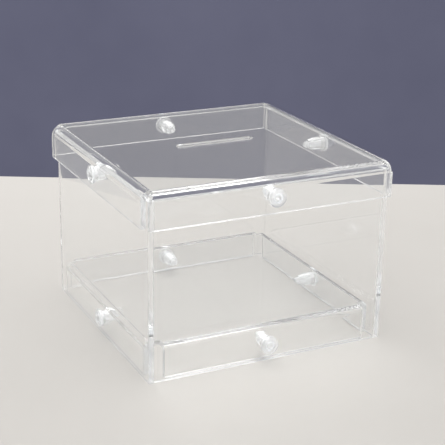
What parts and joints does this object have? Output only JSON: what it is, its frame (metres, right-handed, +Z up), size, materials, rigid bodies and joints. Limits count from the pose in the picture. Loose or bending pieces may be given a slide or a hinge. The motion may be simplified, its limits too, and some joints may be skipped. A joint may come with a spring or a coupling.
{
  "type": "donation box",
  "caption": "Square clear acrylic donation box with a folded slotted lid, a raised folded floor and push rivets that hold both to the walls.",
  "frame": {"origin": "centre of the footprint, on the surface that the box stands on", "axes": "+Z up; the cemented front panel faces -Y; +X to the right seen from the front, along the coin slot"},
  "size_m": [0.1626, 0.1626, 0.1125],
  "materials": {
    "acrylic_body": "clear polished sheet, cut edges bright",
    "acrylic_front": "clear polished sheet",
    "acrylic_lid": "clear polished sheet, heat-bent edges",
    "acrylic_floor": "clear polished sheet, heat-bent edges",
    "rivet_bush": "moulded clear plastic",
    "rivet_pin": "moulded clear plastic"
  },
  "bodies": {
    "box": {"body_wrap": "acrylic_body", "front_panel": "acrylic_front", "lid": "acrylic_lid", "floor_tray": "acrylic_floor"},
    "lid_front_bush": {"lid_front_bush": "rivet_bush"},
    "lid_front_pin": {"lid_front_pin": "rivet_pin"},
    "lid_right_bush": {"lid_right_bush": "rivet_bush"},
    "lid_right_pin": {"lid_right_pin": "rivet_pin"},
    "lid_back_bush": {"lid_back_bush": "rivet_bush"},
    "lid_back_pin": {"lid_back_pin": "rivet_pin"},
    "lid_left_bush": {"lid_left_bush": "rivet_bush"},
    "lid_left_pin": {"lid_left_pin": "rivet_pin"},
    "base_front_bush": {"base_front_bush": "rivet_bush"},
    "base_front_pin": {"base_front_pin": "rivet_pin"},
    "base_right_bush": {"base_right_bush": "rivet_bush"},
    "base_right_pin": {"base_right_pin": "rivet_pin"},
    "base_back_bush": {"base_back_bush": "rivet_bush"},
    "base_back_pin": {"base_back_pin": "rivet_pin"},
    "base_left_bush": {"base_left_bush": "rivet_bush"},
    "base_left_pin": {"base_left_pin": "rivet_pin"}
  },
  "joints": [
    {"name": "lid_front_bush_pull", "type": "slide", "parent": "box", "child": "lid_front_bush", "axis": [0, -1, 0], "range_m": [0, 0.0171]},
    {"name": "lid_front_pin_pull", "type": "slide", "parent": "lid_front_bush", "child": "lid_front_pin", "axis": [0, -1, 0], "range_m": [0, 0.0177]},
    {"name": "lid_right_bush_pull", "type": "slide", "parent": "box", "child": "lid_right_bush", "axis": [1, 0, 0], "range_m": [0, 0.0171]},
    {"name": "lid_right_pin_pull", "type": "slide", "parent": "lid_right_bush", "child": "lid_right_pin", "axis": [1, 0, 0], "range_m": [0, 0.0177]},
    {"name": "lid_back_bush_pull", "type": "slide", "parent": "box", "child": "lid_back_bush", "axis": [0, 1, 0], "range_m": [0, 0.0171]},
    {"name": "lid_back_pin_pull", "type": "slide", "parent": "lid_back_bush", "child": "lid_back_pin", "axis": [0, 1, 0], "range_m": [0, 0.0177]},
    {"name": "lid_left_bush_pull", "type": "slide", "parent": "box", "child": "lid_left_bush", "axis": [-1, 0, 0], "range_m": [0, 0.0171]},
    {"name": "lid_left_pin_pull", "type": "slide", "parent": "lid_left_bush", "child": "lid_left_pin", "axis": [-1, 0, 0], "range_m": [0, 0.0177]},
    {"name": "base_front_bush_pull", "type": "slide", "parent": "box", "child": "base_front_bush", "axis": [0, -1, 0], "range_m": [0, 0.0171]},
    {"name": "base_front_pin_pull", "type": "slide", "parent": "base_front_bush", "child": "base_front_pin", "axis": [0, -1, 0], "range_m": [0, 0.0177]},
    {"name": "base_right_bush_pull", "type": "slide", "parent": "box", "child": "base_right_bush", "axis": [1, 0, 0], "range_m": [0, 0.0171]},
    {"name": "base_right_pin_pull", "type": "slide", "parent": "base_right_bush", "child": "base_right_pin", "axis": [1, 0, 0], "range_m": [0, 0.0177]},
    {"name": "base_back_bush_pull", "type": "slide", "parent": "box", "child": "base_back_bush", "axis": [0, 1, 0], "range_m": [0, 0.0171]},
    {"name": "base_back_pin_pull", "type": "slide", "parent": "base_back_bush", "child": "base_back_pin", "axis": [0, 1, 0], "range_m": [0, 0.0177]},
    {"name": "base_left_bush_pull", "type": "slide", "parent": "box", "child": "base_left_bush", "axis": [-1, 0, 0], "range_m": [0, 0.0171]},
    {"name": "base_left_pin_pull", "type": "slide", "parent": "base_left_bush", "child": "base_left_pin", "axis": [-1, 0, 0], "range_m": [0, 0.0177]}
  ]
}
